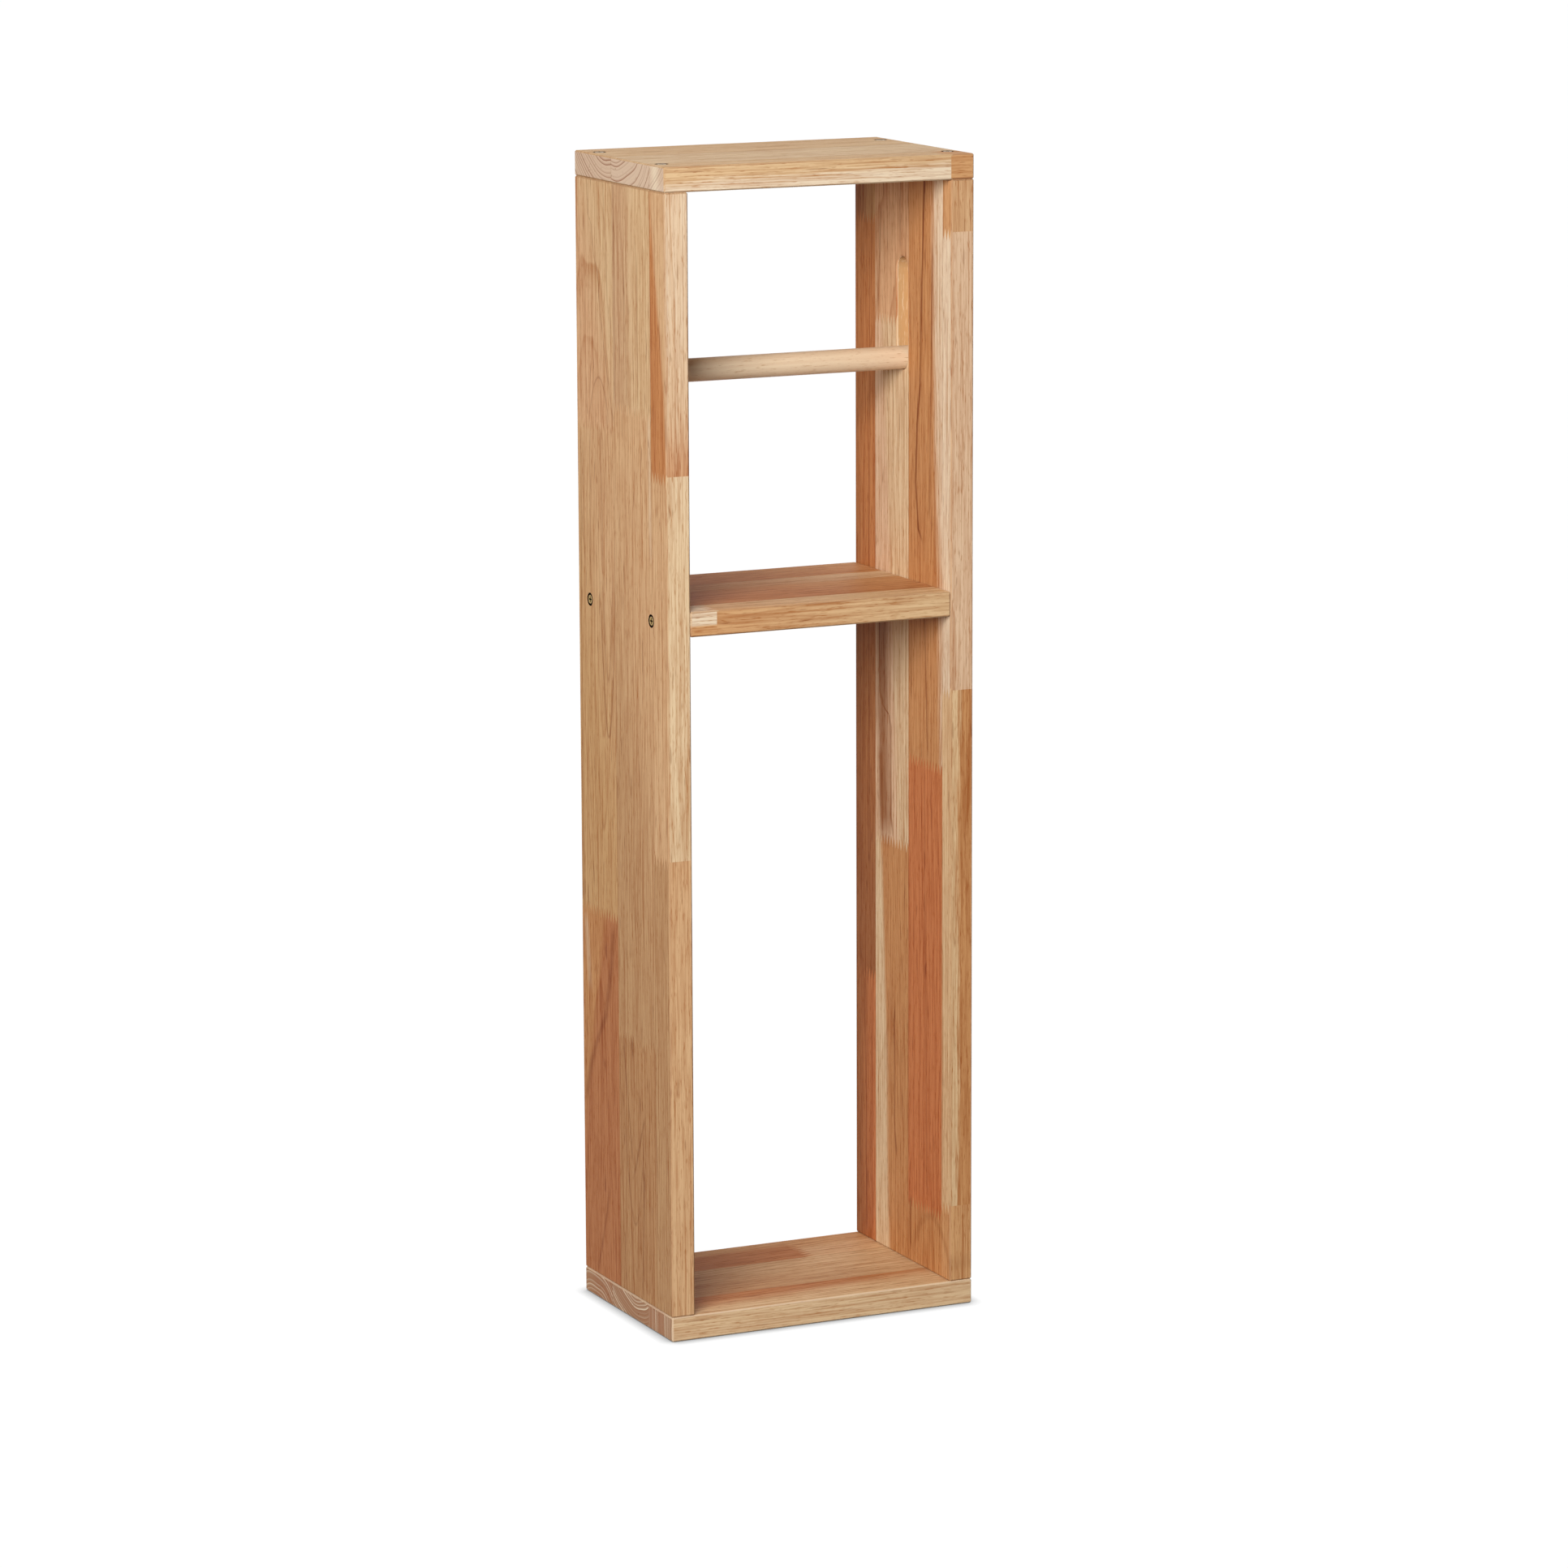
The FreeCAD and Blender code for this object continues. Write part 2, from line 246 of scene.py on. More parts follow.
@dataclass(frozen=True)
class GrainArch:
    """One arched line of the figure, where a growth ring runs out of the board's face.

    Attributes:
        across: mm across the board to its tip.
        along: mm along the board to its tip.
        bend: how fast it closes in, per mm; it opens to the board's high end, or below 0 to its low end.
        length: mm along the board over which it shows.
        width: mm from its middle to where it has faded out.
        strength: how dark it is, from 0 to 1.
    """

    across: float
    along: float
    bend: float
    length: float
    width: float
    strength: float


@dataclass(frozen=True)
class Groove:
    """The stretch of a side panel that its routed groove lies in.

    Attributes:
        middle: mm along the panel to the groove's middle.
        half_length: mm from there to past its ends.
        half_width: mm from the panel's middle to past its sides.
        face: mm from the middle of the panel's thickness to its face.
    """

    middle: float
    half_length: float
    half_width: float
    face: float


@dataclass(frozen=True)
class Board:
    """A board of the stand, glued up from staves.

    Attributes:
        node: name of its node in the frame.
        grain: which way its fibres run.
        rows: its staves, row by row from the front to the back.
        lines: the grain lines that stand out.
        arches: the arched grain lines that stand out.
        groove: the routed groove of a side panel.
        end_tone: the tone that its end grain comes near to.
        arc_tone: the tone of the growth rings in its end grain.
        edge_wear_and_highlight: how pale its edges are made by rubbed wear and a painted highlight, 0 to 1.
    """

    node: str
    grain: Grain
    rows: tuple[Row, ...]
    lines: tuple[GrainLine, ...] = ()
    arches: tuple[GrainArch, ...] = ()
    groove: Groove | None = None
    end_tone: Tone = Tone.ROSE_CREAM
    arc_tone: Tone = Tone.UMBER
    # Partly rubbed wear, partly a painted highlight.
    edge_wear_and_highlight: float = 0.1

    def staves(self) -> list[tuple[Row, Stave]]:
        """Lists every stave with its row, in the order of their numbers."""
        return [(row, stave) for row in self.rows for stave in row.staves]


@dataclass(frozen=True)
class Stripes:
    """A noise that is stretched along the grain.

    Attributes:
        length: mm along the grain of one stripe.
        width: mm across the grain of one stripe.
        detail: how many finer noises lie over it.
    """

    length: float
    width: float
    detail: float

    def draw(self, sheet: NodeSheet, spot: Socket) -> Socket:
        """Draws the stripes.

        Args:
            sheet: the material's nodes.
            spot: the shaded point, in mm along, across and through the grain.

        Returns:
            The pattern, from 0 to 1.
        """
        per_mm = (1 / self.length, 1 / self.width, 1 / self.width)
        stretched = sheet.add("VectorMath.MULTIPLY", spot, per_mm)
        return sheet.add("TexNoise", stretched, 1.0, self.detail)


@dataclass(frozen=True)
class OiledHardwood:
    """Finger-jointed hardwood, planed, sanded and oiled.

    The eye sees blocks of pale sapwood and red or brown heart, saw-tooth joints between them, soft growth
    rings, fibre streaks, short dark pores, duller end grain, edges darkened by painted shade and made paler
    by rubbed wear and a painted highlight, painted shade in holes, a painted highlight round the rim of a
    groove and a low satin shine.
    Sizes are in millimetres.
    """

    # The patterns of the grain, and how far apart each stave's own stretch of them is taken.
    sway: Stripes = Stripes(length=170, width=42, detail=1.5)
    streak: Stripes = Stripes(length=150, width=1.8, detail=1)
    # Real fibres and pores are about 0.2 mm wide. They are drawn as coarse as the render's pixels need.
    fibre: Stripes = Stripes(length=28, width=0.9, detail=2)
    pore: Stripes = Stripes(length=6, width=0.6, detail=1)
    fleck: Stripes = Stripes(length=16, width=1.7, detail=0)
    pore_range: Span = (0.58, 0.74)
    fleck_range: Span = (0.74, 0.82)
    shift_along: float = 613.0
    shift_across: float = 87.0
    shift_years: float = 19.0

    # Growth rings: soft on the faces, closer and bolder on end grain.
    ring_spacing: float = 3.4
    end_ring_spacing: float = 2.3
    ring_sharpness: float = 4.0
    end_ring_sharpness: float = 2.5
    ring_sway: float = 14.0
    ring_stop: float = 0.93
    end_ring_gain: float = 1.8

    # How far the line where two tones meet wanders, as a share of half its blend and at most, how far a
    # grain line wobbles, and the share of an arch's length that shows in full.
    swing_share: float = 3.0
    most_swing: float = 12.0
    line_wobble: float = 3.0
    full_arch: float = 0.4

    # Joints, edges and cuts, and how squarely a face looks along the grain or out of the board.
    finger_pitch: float = 3.8
    finger_length: float = 7.5
    seam_width: float = 0.25
    edge_width: float = 0.85
    rim_depth: float = 0.9
    end_facing: Span = (0.75, 0.95)
    cut_facing: float = 0.3

    # How strongly each pattern shows. The middle of streaks, fibres and pores is taken off again.
    streak_share: float = 1.2
    fibre_share: float = 1.8
    pore_share: float = 0.55
    grain_middle: float = 1.27
    fleck_share: float = 0.45
    seam_share: float = 0.3
    end_share: float = 0.75
    arc_share: float = 0.8

    warm_tint: Colour = linear("#CDA98D")
    dark_tint: Colour = linear("#AE8665")
    # Painted shade on the edges, so that the chamfers catch less light.
    edge_shade: Colour = linear("#DCD2C6")
    # Painted shade inside holes.
    hole_shade: Colour = linear("#241A12")
    pale: Tone = Tone.CREAM
    routed: Tone = Tone.OLIVE_TAN
    routed_speck: Tone = Tone.SAPWOOD

    roughness: float = 0.52
    rough_spread: float = 0.16
    pore_roughness: float = 0.14
    relief: float = 0.35
    pore_depth: float = 0.06
    ior: float = 1.5
    shine: float = 0.06

    def dress(self, board: Board) -> None:
        """Gives one board its own material.

        Args:
            board: the board with its rows of staves and its grain lines.
        """
        material = bpy.data.materials.new("oiled_hardwood_" + board.node)
        BoardPainter(self, board, NodeSheet(material)).paint()
        dress_node(board.node, material)


@dataclass(frozen=True)
class GrainPlace:
    """Where a shaded point lies in its board, as node sockets; places are in millimetres.

    Attributes:
        along: along the grain.
        across: across the board, from its front to its back.
        depth: from the middle of its thickness.
        end_grain: 1 where the fibres end in the surface.
        edge: 1 on the edges.
        cut: 1 inside holes and grooves.
    """

    along: Socket
    across: Socket
    depth: Socket
    end_grain: Socket
    edge: Socket
    cut: Socket


@dataclass(frozen=True)
class WoodNoise:
    """The patterns that one board's material shares, as node sockets from 0 to 1.

    Attributes:
        sway: slow drift that bends rings and tones.
        streak: soft stripes a few mm wide.
        fibre: fine stripes.
        pore: 1 in the open pores.
        fleck: 1 in the few large dark flecks.
    """

    sway: Socket
    streak: Socket
    fibre: Socket
    pore: Socket
    fleck: Socket


@dataclass
class BoardPainter:
    """Builds the material of one board, layer by layer.

    Attributes:
        wood: the finish.
        board: the board with its staves and grain lines.
        sheet: the material's nodes.
    """

    wood: OiledHardwood
    board: Board
    sheet: NodeSheet

    def __post_init__(self) -> None:
        """Makes what all the layers share, and the staves' tones that they lie on."""
        self.place = self.find_place()
        self.number = self.stave_number()
        self.noise = self.wood_noise()
        self.tone = self.stave_tone()

    def paint(self) -> None:
        """Lays the layers over each other, from the ends of the fibres to the satin surface."""
        self.end_grain()
        self.pale_lines()
        self.fine_grain()
        self.dark_lines()
        self.edges()
        self.cuts()
        self.surface()

    def lay(self, share: Feed, colour: Feed, blend: str = "MIX") -> None:
        """Lays a colour over the tone so far by a share from 0 to 1, or tints the tone with it."""
        self.tone = self.sheet.add("Mix", share, self.tone, colour, data_type="RGBA", blend_type=blend)

    def find_place(self) -> GrainPlace:
        """Works out where the shaded point lies in the board.

        Returns:
            Its place in the grain, and whether it is end grain, an edge or inside a cut.
        """
        add = self.sheet.add
        grain = self.board.grain
        metres = add("TexCoord", take="Object")
        point = add("VectorMath.SCALE", metres, 1 / MM)
        split = add("SeparateXYZ", point).node.outputs
        facing = add("VectorMath.ABSOLUTE", metres.node.outputs["Normal"])
        faces = add("SeparateXYZ", facing).node.outputs
        thickness = "X" if grain is Grain.UPRIGHT else "Z"
        low, high = (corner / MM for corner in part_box(self.board.node))
        middle = (low + high) / 2
        depth = add("Math.SUBTRACT", split[thickness], middle["XYZ".index(thickness)])
        end_grain = add("MapRange", faces[grain.value], *self.wood.end_facing)
        aside = add("VectorMath.SUBTRACT", point, tuple(middle))
        aside = add("VectorMath.ABSOLUTE", aside)
        inset = add("VectorMath.SUBTRACT", tuple((high - low) / 2), aside)
        insets = add("SeparateXYZ", inset).node.outputs
        # An edge is near two sides of the board at once. A face in a cut looks out of no side that is near.
        sides: Feed = 0.0
        outward: Feed = 0.0
        for axis in "XYZ":
            near = add("Math.LESS_THAN", insets[axis], self.wood.edge_width)
            sides = add("Math.ADD", near, sides)
            outward = add("Math.MULTIPLY_ADD", near, faces[axis], outward)
        edge = add("Math.GREATER_THAN", sides, 1.5)
        cut = add("Math.LESS_THAN", outward, self.wood.cut_facing)
        return GrainPlace(split[grain.value], split["Y"], depth, end_grain, edge, cut)

    def stave_number(self) -> Socket:
        """Numbers the stave that the shaded point is in, with saw-tooth joints between the staves.

        Returns:
            The stave's number in the board's list.
        """
        add = self.sheet.add
        wood = self.wood
        tooth = add("Math.PINGPONG", self.place.across, wood.finger_pitch / 2)
        steep = 2 * wood.finger_length / wood.finger_pitch
        reach = add("Math.MULTIPLY_ADD", tooth, steep, -wood.finger_length / 2)
        along = add("Math.ADD", self.place.along, reach)
        number: Feed = None
        first = 0
        for row in self.board.rows:
            count: Feed = float(first)
            for stave in row.staves[:-1]:
                past = add("Math.GREATER_THAN", along, stave.end)
                count = add("Math.ADD", past, count)
            if number is None:
                number = count
            else:
                behind = add("Math.GREATER_THAN", self.place.across, row.front)
                number = add("Mix", behind, number, count, data_type="FLOAT")
            first += len(row.staves)
        return number

    def wood_noise(self) -> WoodNoise:
        """Draws the patterns of the grain, on a stretch of its own for each stave, so no two look alike.

        Returns:
            The patterns, each stretched along the grain.
        """
        add = self.sheet.add
        wood = self.wood
        along = add("Math.MULTIPLY_ADD", self.number, wood.shift_along, self.place.along)
        across = add("Math.MULTIPLY_ADD", self.number, wood.shift_across, self.place.across)
        spot = add("CombineXYZ", along, across, self.place.depth)
        stripes = (wood.sway, wood.streak, wood.fibre, wood.pore, wood.fleck)
        sway, streak, fibre, pore, fleck = (pattern.draw(self.sheet, spot) for pattern in stripes)
        pore = add("MapRange", pore, *wood.pore_range)
        fleck = add("MapRange", fleck, *wood.fleck_range)
        return WoodNoise(sway, streak, fibre, pore, fleck)

    def per_stave(self, values: list[tuple[float, ...]]) -> Socket:
        """Looks up what each stave has of its own.

        Args:
            values: one colour, or four numbers from 0 to 1, for each stave.

        Returns:
            The value of the stave that the point is in.
        """
        total = len(values)
        where = self.sheet.add("Math.MULTIPLY_ADD", self.number, 1 / total, 0.5 / total)
        found = self.sheet.add("ValToRGB", where)
        ramp = found.node.color_ramp
        ramp.interpolation = "CONSTANT"
        ramp.elements.remove(ramp.elements[1])
        ramp.elements[0].color = values[0]
        for i, value in enumerate(values[1:], start=1):
            ramp.elements.new(i / total).color = value
        return found

    def stave_tone(self) -> Socket:
        """Colours each stave with its two tones and the soft, wandering line where they meet.

        Returns:
            The tone before rings, fibres and pores.
        """
        add = self.sheet.add
        staves = [stave for row, stave in self.board.staves()]
        front = self.per_stave([linear(stave.front.value) for stave in staves])
        back = self.per_stave([linear(stave.back.value) for stave in staves])
        parts = self.per_stave([
            ((stave.parting + MOST_PLACE) / (2 * MOST_PLACE), stave.blend / MOST_BLEND,
             (stave.lean + MOST_LEAN) / (2 * MOST_LEAN), stave.through) for stave in staves])
        shares = add("SeparateColor", parts).node.outputs
        parting = add("Math.MULTIPLY_ADD", shares[0], 2 * MOST_PLACE, -MOST_PLACE)
        half = add("Math.MULTIPLY", shares[1], MOST_BLEND / 2)
        lean = add("Math.MULTIPLY_ADD", shares[2], 2 * MOST_LEAN, -MOST_LEAN)
        through = parts.node.outputs["Alpha"]
        across = add("Mix", through, self.place.across, self.place.depth, data_type="FLOAT")
        wander = add("Math.ADD", self.noise.sway, self.noise.fibre)
        wander = add("Math.SUBTRACT", wander, 1.0)
        swing = add("Math.MULTIPLY", half, self.wood.swing_share)
        swing = add("Math.MINIMUM", swing, self.wood.most_swing)
        across = add("Math.MULTIPLY_ADD", wander, swing, across)
        line = add("Math.MULTIPLY_ADD", self.place.along, lean, parting)
        low = add("Math.SUBTRACT", line, half)
        high = add("Math.ADD", line, half)
        share = add("MapRange", across, low, high, interpolation_type="SMOOTHSTEP")
        return add("Mix", share, front, back, data_type="RGBA")

    def end_grain(self) -> None:
        """Brings the ends of the fibres, which take up more oil, nearer to one tone."""
        share = self.sheet.add("Math.MULTIPLY", self.place.end_grain, self.wood.end_share)
        self.lay(share, linear(self.board.end_tone.value))

    def pale_lines(self) -> None:
        """Draws the board's pale lines."""
        for line in self.board.lines:
            if line.strength < 0:
                share = self.sheet.add("Math.MULTIPLY", self.grain_line(line), -line.strength)
                self.lay(share, linear(self.wood.pale.value))

    def fine_grain(self) -> None:
        """Warms the tone with rings, streaks, fibres and pores, and draws the rings of end grain."""
        add = self.sheet.add
        wood = self.wood
        rings = self.rings()
        warm = add("Math.MULTIPLY_ADD", self.noise.streak, wood.streak_share, -wood.grain_middle)
        warm = add("Math.MULTIPLY_ADD", self.noise.fibre, wood.fibre_share, warm)
        warm = add("Math.MULTIPLY_ADD", self.noise.pore, wood.pore_share, warm)
        warm = add("Math.ADD", warm, rings)
        along_grain = add("Math.SUBTRACT", 1.0, self.place.end_grain)
        warm = add("Math.MULTIPLY", warm, along_grain)
        self.lay(warm, wood.warm_tint, "MULTIPLY")
        arc = add("Math.MULTIPLY", rings, self.place.end_grain)
        arc = add("Math.MULTIPLY", arc, wood.arc_share)
        self.lay(arc, linear(self.board.arc_tone.value))

    def dark_lines(self) -> None:
        """Darkens flecks, seams and the board's own lines and arches."""
        add = self.sheet.add
        layers = [(self.noise.fleck, self.wood.fleck_share)]
        for row in self.board.rows[1:]:
            seam = add("Math.COMPARE", self.place.across, row.front, self.wood.seam_width)
            layers.append((seam, self.wood.seam_share))
        for line in self.board.lines:
            if line.strength > 0:
                layers.append((self.grain_line(line), line.strength))
        for arch in self.board.arches:
            layers.append((self.grain_arch(arch), arch.strength))
        dark: Feed = 0.0
        for layer, strength in layers:
            dark = add("Math.MULTIPLY_ADD", layer, strength, dark)
        self.lay(dark, self.wood.dark_tint, "MULTIPLY")

    def rings(self) -> Socket:
        """Draws the growth rings round the middle of each stave's log.

        Returns:
            Darkness of the late wood.
        """
        add = self.sheet.add
        wood = self.wood
        end_grain = self.place.end_grain
        logs = self.per_stave([
            (((row.front + row.back) / 2 + stave.figure.value.aside + MOST_PLACE) / (2 * MOST_PLACE),
             (stave.figure.value.above + MOST_PLACE) / (2 * MOST_PLACE),
             stave.figure.value.tilt / MOST_TILT, stave.figure.value.contrast)
            for row, stave in self.board.staves()])
        shares = add("SeparateColor", logs).node.outputs
        aside = add("Math.MULTIPLY_ADD", shares[0], 2 * MOST_PLACE, -MOST_PLACE)
        above = add("Math.MULTIPLY_ADD", shares[1], 2 * MOST_PLACE, -MOST_PLACE)
        tilt = add("Math.MULTIPLY", shares[2], MOST_TILT)
        wide = add("Math.SUBTRACT", self.place.across, aside)
        deep = add("Math.MULTIPLY_ADD", self.place.along, tilt, self.place.depth)
        deep = add("Math.SUBTRACT", deep, above)
        radius = add("VectorMath.LENGTH", add("CombineXYZ", wide, deep))
        radius = add("Math.MULTIPLY_ADD", self.noise.sway, wood.ring_sway, radius)
        closer = wood.end_ring_spacing - wood.ring_spacing
        spacing = add("Math.MULTIPLY_ADD", end_grain, closer, wood.ring_spacing)
        phase = add("Math.DIVIDE", radius, spacing)
        year = add("Math.FLOOR", phase)
        year = add("Math.MULTIPLY_ADD", self.number, wood.shift_years, year)
        vigour = add("TexWhiteNoise", year, noise_dimensions="1D")
        growth = add("Math.FRACT", phase)
        softer = wood.end_ring_sharpness - wood.ring_sharpness
        sharpness = add("Math.MULTIPLY_ADD", end_grain, softer, wood.ring_sharpness)
        late = add("Math.POWER", growth, sharpness)
        stop = add("MapRange", growth, wood.ring_stop, 1.0, 1.0, 0.0, interpolation_type="SMOOTHSTEP")
        gain = add("Math.MULTIPLY_ADD", end_grain, wood.end_ring_gain, 1.0)
        ring = late
        for factor in (stop, vigour, logs.node.outputs["Alpha"], gain):
            ring = add("Math.MULTIPLY", ring, factor)
        return ring

    def grain_line(self, line: GrainLine) -> Socket:
        """Draws one line of the figure, made uneven by the streaks.

        Args:
            line: where it runs and how wide it is.

        Returns:
            1 in the middle of the line, fading to 0 at its sides and ends.
        """
        add = self.sheet.add
        along = self.place.along
        wobble = self.wood.line_wobble
        (first, middle), *rest = line.path
        last = first
        for mark, across in rest:
            middle = add("MapRange", along, last, mark, middle, across)
            last = mark
        middle = add("Math.MULTIPLY_ADD", self.noise.streak, wobble, middle)
        gap = add("Math.SUBTRACT", self.place.across, middle)
        gap = add("Math.ADD", gap, wobble / 2)
        gap = add("Math.ABSOLUTE", gap)
        side = add("MapRange", gap, line.width, 0.0, interpolation_type="SMOOTHSTEP")
        start = add("MapRange", along, first, first + line.fade)
        stop = add("MapRange", along, last, last - line.fade)
        length = add("Math.MULTIPLY", start, stop)
        return add("Math.MULTIPLY", side, length)

    def grain_arch(self, arch: GrainArch) -> Socket:
        """Draws one arched line of the figure.

        Args:
            arch: where its tip is and how it opens.

        Returns:
            1 in the middle of the line, fading to 0 at its sides and ends.
        """
        add = self.sheet.add
        along = self.place.along
        aside = add("Math.SUBTRACT", self.place.across, arch.across)
        square = add("Math.MULTIPLY", aside, aside)
        curve = add("Math.MULTIPLY_ADD", square, arch.bend, arch.along)
        gap = add("Math.SUBTRACT", along, curve)
        # Along a steep stretch the gap is measured square to the curve, so that the line keeps its width.
        steep = add("Math.MULTIPLY_ADD", square, 4 * arch.bend ** 2, 1.0)
        steep = add("Math.SQRT", steep)
        gap = add("Math.DIVIDE", gap, steep)
        gap = add("Math.ABSOLUTE", gap)
        side = add("MapRange", gap, arch.width, 0.0, interpolation_type="SMOOTHSTEP")
        away = add("Math.SUBTRACT", along, arch.along)
        away = add("Math.ABSOLUTE", away)
        full = self.wood.full_arch * arch.length
        length = add("MapRange", away, arch.length, full, interpolation_type="SMOOTHSTEP")
        return add("Math.MULTIPLY", side, length)

    def edges(self) -> None:
        """Darkens the board's edges with painted shade, then makes them paler by rubbed wear and a painted
        highlight.
        """
        # Painted shade: every edge is darkened.
        self.lay(self.place.edge, self.wood.edge_shade, "MULTIPLY")
        # Partly rubbed wear, partly a painted highlight: the edges are made paler.
        wear_and_highlight = self.sheet.add("Math.MULTIPLY", self.place.edge, self.board.edge_wear_and_highlight)
        self.lay(wear_and_highlight, linear(self.wood.pale.value))

    def cuts(self) -> None:
        """Paints shade in the holes, and gives a groove its specked walls and a painted highlight round its
        rim.
        """
        add = self.sheet.add
        wood = self.wood
        place = self.place
        groove = self.board.groove
        # Painted shade: faces inside holes are darkened.
        self.lay(place.cut, wood.hole_shade, "MULTIPLY")
        if groove is None:
            return
        beside = add("Math.COMPARE", place.across, 0.0, groove.half_width)
        level = add("Math.COMPARE", place.along, groove.middle, groove.half_length)
        inside = add("Math.MULTIPLY", beside, level)
        inside = add("Math.MULTIPLY", inside, place.cut)
        wall, speck, rim_highlight = (linear(shade.value) for shade in (wood.routed, wood.routed_speck, wood.pale))
        routed = add("Mix", self.noise.pore, wall, speck, data_type="RGBA")
        # Painted highlight: the groove's rim, within rim_depth of the face, is made pale.
        deep = add("Math.ABSOLUTE", place.depth)
        rim = add("Math.GREATER_THAN", deep, groove.face - wood.rim_depth)
        routed = add("Mix", rim, routed, rim_highlight, data_type="RGBA")
        self.lay(inside, routed)

    def surface(self) -> None:
        """Finishes the satin surface, with open pores that are rougher and a little sunk."""
        add = self.sheet.add
        wood = self.wood
        smoothest = wood.roughness - wood.rough_spread / 2
        rough = add("Math.MULTIPLY_ADD", self.noise.fibre, wood.rough_spread, smoothest)
        rough = add("Math.MULTIPLY_ADD", self.noise.pore, wood.pore_roughness, rough)
        height = add("Math.MULTIPLY_ADD", self.noise.pore, -1.0, self.noise.fibre)
        bump = add("Bump", named={
            "Strength": wood.relief, "Distance": wood.pore_depth * MM, "Height": height})
        shader = add("BsdfPrincipled", self.tone, named={
            "Roughness": rough, "IOR": wood.ior, "Specular IOR Level": wood.shine, "Normal": bump})
        add("OutputMaterial", shader)


@dataclass(frozen=True)
class SandedBeech:
    """Turned beech, sanded fine and oiled.

    The eye sees an even pale straw, faint straight grain and many short brown ray flecks. Sizes are in
    millimetres.
    """

    pale: str = "#EFDABB"
    dark: str = "#DCBC99"
    fleck: str = "#B4824F"
    grain: Stripes = Stripes(length=120, width=1.8, detail=3)
    # Real ray flecks are about 0.3 mm wide. They are drawn at 0.6 mm, the least that shows in the render.
    rays: Stripes = Stripes(length=5, width=0.6, detail=1)
    ray_range: Span = (0.6, 0.75)
    ray_share: float = 0.5
    roughness: float = 0.5
    rough_spread: float = 0.16
    relief: float = 0.25
    grain_depth: float = 0.05
    ior: float = 1.5
    shine: float = 0.2

    def dress(self, node: str) -> None:
        """Gives the rod its material.

        Args:
            node: name of the rod's node.
        """
        material = bpy.data.materials.new("sanded_beech")
        sheet = NodeSheet(material)
        spot = sheet.add("VectorMath.SCALE", sheet.add("TexCoord", take="Object"), 1 / MM)
        grain = self.grain.draw(sheet, spot)
        rays = sheet.add("MapRange", self.rays.draw(sheet, spot), *self.ray_range, 0.0, self.ray_share)
        tone = sheet.add("Mix", grain, linear(self.pale), linear(self.dark), data_type="RGBA")
        colour = sheet.add("Mix", rays, tone, linear(self.fleck), data_type="RGBA")
        smoothest = self.roughness - self.rough_spread / 2
        rough = sheet.add("Math.MULTIPLY_ADD", grain, self.rough_spread, smoothest)
        bump = sheet.add("Bump", named={
            "Strength": self.relief, "Distance": self.grain_depth * MM, "Height": grain})
        shader = sheet.add("BsdfPrincipled", colour, named={
            "Roughness": rough, "IOR": self.ior, "Specular IOR Level": self.shine, "Normal": bump})
        sheet.add("OutputMaterial", shader)
        dress_node(node, material)


@dataclass(frozen=True)
class PassivatedSteel:
    """Steel screw, zinc plated and yellow passivated.

    The eye sees a soft brassy metal with cloudy tarnish, and painted shade, dark and dull, in its cross
    recess and round its rim. Sizes are in millimetres.
    """

    bright: str = "#CFAA5C"
    tarnish: str = "#7F602E"
    # Painted shade in the cross recess and round the rim.
    recess_shade: str = "#1A120B"
    cloud_size: float = 1.0
    cloud_detail: float = 3.0
    crown_facing: float = 0.85
    recess_shade_reach: float = 1.6
    open_range: Span = (0.35, 0.7)
    recess_shade_roughness: float = 0.9
    recess_shade_shine: float = 0.1
    roughness: float = 0.18
    rough_spread: float = 0.12

    def material(self) -> bpy.types.Material:
        """Makes the metal that all the screws share.

        Returns:
            The material.
        """
        material = bpy.data.materials.new("yellow_passivated_steel")
        sheet = NodeSheet(material)
        metres = sheet.add("TexCoord", take="Object")
        cloud = sheet.add("TexNoise", metres, 1 / (self.cloud_size * MM), self.cloud_detail)
        plate = sheet.add("Mix", cloud, linear(self.bright), linear(self.tarnish), data_type="RGBA")
        facing = sheet.add("VectorMath.ABSOLUTE", metres.node.outputs["Normal"])
        faces = sheet.add("SeparateXYZ", facing).node.outputs
        square = sheet.add("Math.MAXIMUM", faces["X"], faces["Y"])
        square = sheet.add("Math.MAXIMUM", square, faces["Z"])
        crown = sheet.add("Math.GREATER_THAN", square, self.crown_facing)
        # Painted shade: away from the flat crown, and where ambient occlusion finds the metal hemmed in, it
        # turns dark, dull and unmetallic.
        open_air = sheet.add("AmbientOcclusion", None, self.recess_shade_reach * MM, take="AO")
        unshaded = sheet.add("MapRange", open_air, *self.open_range)
        unshaded = sheet.add("Math.MULTIPLY", unshaded, crown)
        colour = sheet.add("Mix", unshaded, linear(self.recess_shade), plate, data_type="RGBA")
        smoothest = self.roughness - self.rough_spread / 2
        rough = sheet.add("Math.MULTIPLY_ADD", cloud, self.rough_spread, smoothest)
        rough = sheet.add("Mix", unshaded, self.recess_shade_roughness, rough, data_type="FLOAT")
        shader = sheet.add("BsdfPrincipled", colour, named={
            "Metallic": unshaded, "Roughness": rough, "Specular IOR Level": self.recess_shade_shine})
        sheet.add("OutputMaterial", shader)
        return material


# A stave whose front face is coloured apart from its side faces: its two colours meet just behind the front
# face.
FACE_PARTING = -64.4
FACE_BLEND = 0.8

# Painted shade on a stave of a level board: it is darker towards its left end, where the left panel shades
# it, and paler towards its right one; its tones meet over a wide slanting band.
SHADE_DRIFT_LEAN = -0.5
SHADE_DRIFT_BLEND = 100

ROD_GROOVE = Groove(middle=600, half_length=36, half_width=8, face=7.5)

